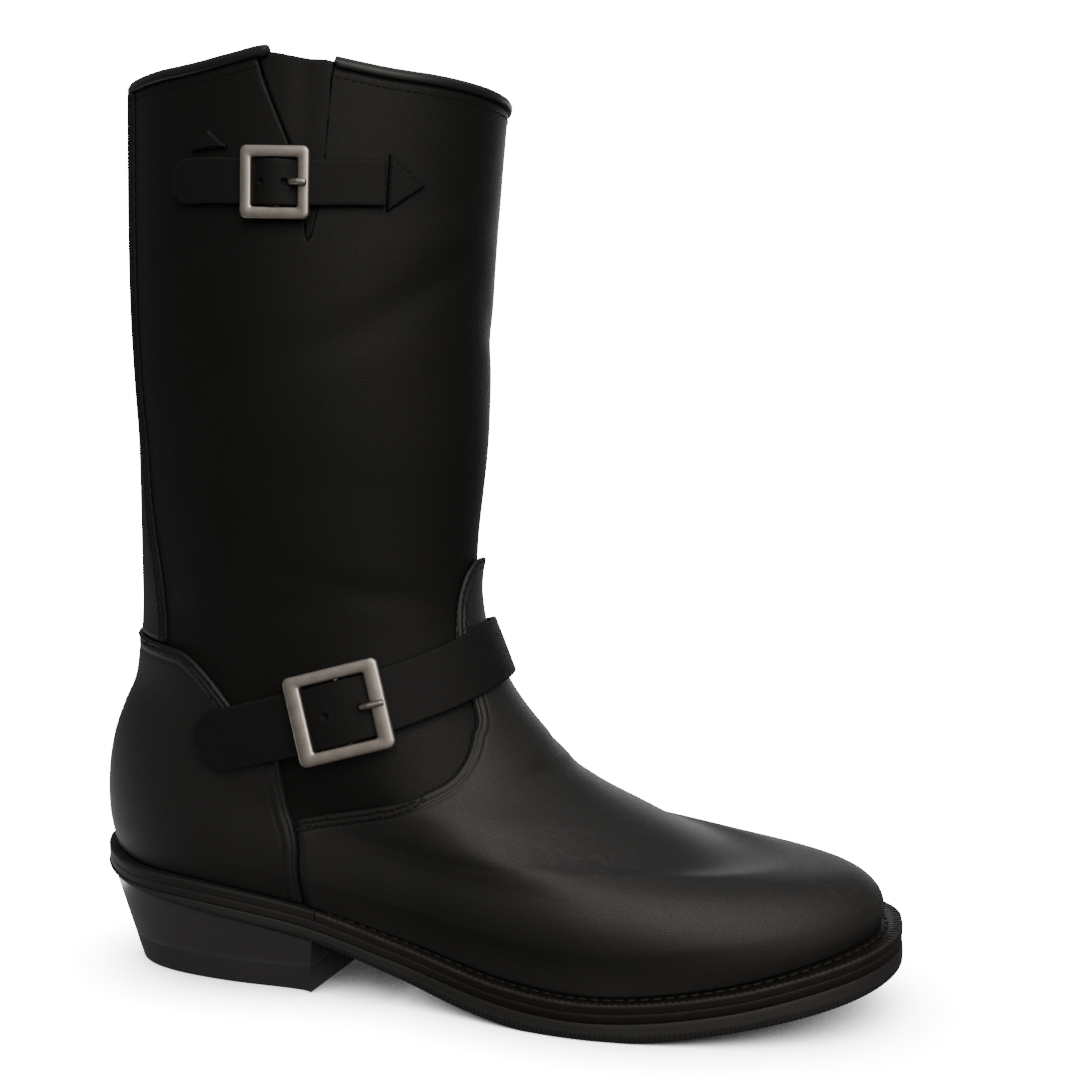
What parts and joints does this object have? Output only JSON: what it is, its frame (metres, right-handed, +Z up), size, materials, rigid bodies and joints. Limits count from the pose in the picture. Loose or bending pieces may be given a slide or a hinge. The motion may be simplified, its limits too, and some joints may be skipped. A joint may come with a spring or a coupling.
{
  "type": "biker boot",
  "caption": "Tall pull-on leather boot with a stitched welt, underslung heel, slotted collar and buckled straps at the instep and at the top of the shaft",
  "frame": {"origin": "middle of the box's underside, on the floor between heel and ball", "axes": "+X towards the toe, +Y towards the inner side of the foot, +Z up the shaft"},
  "size_m": [0.3056, 0.1118, 0.3339],
  "materials": {
    "oiled_leather": "oiled, matte to satin",
    "strap_leather": "oiled, satin",
    "lining": "plain matte",
    "welt_leather": "edge dressed, satin",
    "midsole_leather": "edge dressed, satin",
    "sole_rubber": "matte",
    "heel_leather": "dressed smooth, satin",
    "brushed_nickel": "brushed"
  },
  "bodies": {
    "root": {"upper": "oiled_leather", "vamp": "oiled_leather", "counter": "oiled_leather", "back_stay": "oiled_leather", "gusset": "oiled_leather", "collar_binding": "oiled_leather", "insole": "lining", "welt": "welt_leather", "heel_rand": "welt_leather", "midsole": "midsole_leather", "outsole": "sole_rubber", "heel_stack": "heel_leather", "heel_lift": "sole_rubber", "instep_strap": "strap_leather", "instep_buckle": "brushed_nickel", "instep_prong": "brushed_nickel", "top_strap": "strap_leather", "top_buckle": "brushed_nickel", "top_prong": "brushed_nickel", "top_strap_front_patch": "strap_leather", "top_strap_back_patch": "strap_leather"}
  },
  "joints": []
}
